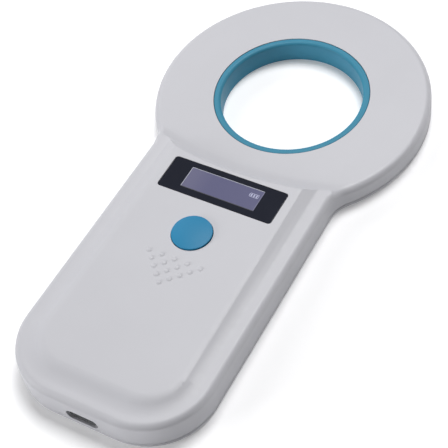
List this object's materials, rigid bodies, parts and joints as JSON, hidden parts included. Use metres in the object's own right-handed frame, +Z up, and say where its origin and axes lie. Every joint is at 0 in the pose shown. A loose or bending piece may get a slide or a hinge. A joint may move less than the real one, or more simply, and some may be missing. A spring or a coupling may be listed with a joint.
{
  "type": "microchip scanner",
  "caption": "Hand-held animal microchip reader: ring head with a lined bore, flat handle with a display window, push button, raised grip dots and a USB port in its end.",
  "frame": {"origin": "centre of the head's bore on the plane of the flat back", "axes": "+Z up out of the face along the bore, the handle runs towards -Y, +X to the right seen from above with the head up"},
  "size_m": [0.087, 0.1687, 0.0123],
  "materials": {
    "case_white": "fine satin moulded",
    "case_white_back": "fine satin moulded",
    "liner_teal": "semi-gloss moulded",
    "button_teal": "semi-gloss moulded",
    "window_dark": "polished dark acrylic",
    "display_panel": "polished panel",
    "foam_black": "matt",
    "moulded_black": "moulded",
    "flex_amber": "film",
    "plunger_grey": "moulded",
    "plated_metal": "plated",
    "board_green": "solder mask",
    "pouch_silver": "laminated pouch",
    "winding_copper": "enamelled copper",
    "former_white": "moulded",
    "lead_red": "insulation",
    "lead_black": "insulation",
    "screw_steel": "zinc plated",
    "disc_brass": "rolled sheet",
    "ceramic_white": "fired",
    "capacitor_tan": "fired",
    "led_red": "clear epoxy",
    "label_silver": "printed foil, blank",
    "ferrite_grey": "ferrite",
    "chip_black": "moulded package"
  },
  "bodies": {
    "housing": {"antenna_coil": "winding_copper", "antenna_former": "former_white", "antenna_header": "moulded_black", "antenna_lead_1": "winding_copper", "antenna_lead_2": "winding_copper", "antenna_tape_1": "flex_amber", "antenna_tape_2": "flex_amber", "antenna_tape_3": "flex_amber", "antenna_tape_4": "flex_amber", "back_shell": "case_white_back", "battery_cell": "pouch_silver", "battery_header": "moulded_black", "battery_lead_black": "lead_black", "battery_lead_red": "lead_red", "battery_pad": "foam_black", "battery_plug": "moulded_black", "bore_liner": "liner_teal", "buzzer_ceramic": "ceramic_white", "buzzer_disc": "disc_brass", "case_screw_1": "screw_steel", "case_screw_2": "screw_steel", "case_screw_3": "screw_steel", "case_screw_4": "screw_steel", "case_screw_5": "screw_steel", "case_screw_6": "screw_steel", "charge_led": "led_red", "charger_chip": "chip_black", "chip_capacitor_1": "capacitor_tan", "chip_capacitor_2": "capacitor_tan", "chip_capacitor_3": "capacitor_tan", "chip_capacitor_4": "capacitor_tan", "chip_capacitor_5": "capacitor_tan", "chip_capacitor_6": "capacitor_tan", "controller_chip": "chip_black", "crystal": "plated_metal", "display_window": "window_dark", "front_shell": "case_white", "inductor": "ferrite_grey", "main_pcb": "board_green", "memory_chip": "chip_black", "oled_flex": "flex_amber", "oled_glass": "display_panel", "oled_holder": "moulded_black", "pcb_screw_1": "screw_steel", "pcb_screw_2": "screw_steel", "pcb_screw_3": "screw_steel", "pcb_screw_4": "screw_steel", "rating_label": "label_silver", "reader_chip": "chip_black", "switch_body": "moulded_black", "switch_dome": "plated_metal", "usb_shell": "plated_metal", "usb_tongue": "moulded_black", "window_gasket": "foam_black"},
    "button": {"button_cap": "button_teal", "switch_plunger": "plunger_grey"}
  },
  "joints": [
    {"name": "button_press", "type": "slide", "parent": "housing", "child": "button", "axis": [0, 0, -1], "range_m": [0, 0.0003], "stiffness_N_per_m": 2500, "deforming": ["switch_dome"]}
  ]
}
